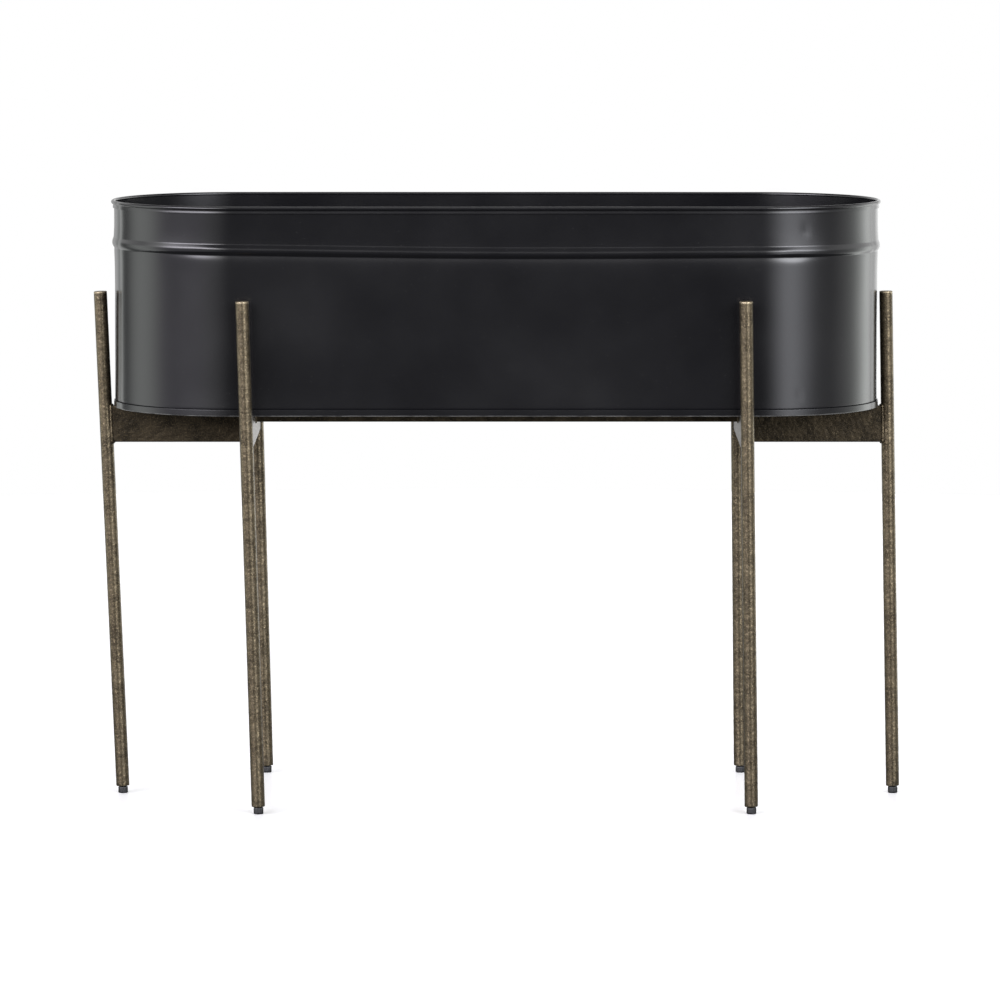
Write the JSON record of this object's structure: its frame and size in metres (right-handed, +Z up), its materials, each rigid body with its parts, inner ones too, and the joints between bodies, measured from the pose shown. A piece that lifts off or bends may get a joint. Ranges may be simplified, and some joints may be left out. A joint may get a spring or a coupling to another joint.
{
  "type": "raised planter on legs",
  "caption": "Oval sheet-metal planting tub with a rolled rim and bead, held waist-high in a round-legged iron stand with screw-adjustable feet; the tub lifts out.",
  "frame": {"origin": "on the floor, under the middle of the stand, at the underside of the six feet", "axes": "+X along the tub's length, -Y towards the front, +Z up"},
  "size_m": [0.9967, 0.3604, 0.738],
  "materials": {
    "tub_black": "satin black coating on sheet iron",
    "stand_bronze": "antique bronze lacquer over hammered iron",
    "steel_wire": "plain drawn wire",
    "pad_black": "moulded nylon",
    "zinc_thread": "dull zinc plate"
  },
  "bodies": {
    "stand": {"leg_left_end": "stand_bronze", "leg_right_end": "stand_bronze", "leg_front_left": "stand_bronze", "leg_front_right": "stand_bronze", "leg_rear_left": "stand_bronze", "leg_rear_right": "stand_bronze", "leg_top_caps": "stand_bronze", "foot_inserts": "zinc_thread", "end_bar_left": "stand_bronze", "end_bar_right": "stand_bronze", "cross_bar_left": "stand_bronze", "cross_bar_right": "stand_bronze", "centre_stretcher": "stand_bronze", "weld_beads": "stand_bronze"},
    "tub": {"tub_front_wall": "tub_black", "tub_rear_wall": "tub_black", "tub_floor": "tub_black", "rim_wire": "steel_wire", "seam_strap_left": "tub_black", "seam_strap_right": "tub_black"},
    "foot_left_end": {"foot_pad_left_end": "pad_black", "foot_stem_left_end": "zinc_thread"},
    "foot_right_end": {"foot_pad_right_end": "pad_black", "foot_stem_right_end": "zinc_thread"},
    "foot_front_left": {"foot_pad_front_left": "pad_black", "foot_stem_front_left": "zinc_thread"},
    "foot_front_right": {"foot_pad_front_right": "pad_black", "foot_stem_front_right": "zinc_thread"},
    "foot_rear_left": {"foot_pad_rear_left": "pad_black", "foot_stem_rear_left": "zinc_thread"},
    "foot_rear_right": {"foot_pad_rear_right": "pad_black", "foot_stem_rear_right": "zinc_thread"}
  },
  "joints": [
    {"name": "tub_lift", "type": "slide", "parent": "stand", "child": "tub", "axis": [0, 0, 1], "range_m": [0, 0.2]},
    {"name": "foot_screw_left_end", "type": "slide", "parent": "stand", "child": "foot_left_end", "axis": [0.0391, 0, -0.9992], "range_m": [0, 0.008]},
    {"name": "foot_screw_right_end", "type": "slide", "parent": "stand", "child": "foot_right_end", "axis": [0.0195, 0, -0.9998], "range_m": [0, 0.008]},
    {"name": "foot_screw_front_left", "type": "slide", "parent": "stand", "child": "foot_front_left", "axis": [0.0282, 0, -0.9996], "range_m": [0, 0.008]},
    {"name": "foot_screw_front_right", "type": "slide", "parent": "stand", "child": "foot_front_right", "axis": [0.0141, 0, -0.9999], "range_m": [0, 0.008]},
    {"name": "foot_screw_rear_left", "type": "slide", "parent": "stand", "child": "foot_rear_left", "axis": [0.0239, 0, -0.9997], "range_m": [0, 0.008]},
    {"name": "foot_screw_rear_right", "type": "slide", "parent": "stand", "child": "foot_rear_right", "axis": [0.0119, 0, -0.9999], "range_m": [0, 0.008]}
  ]
}
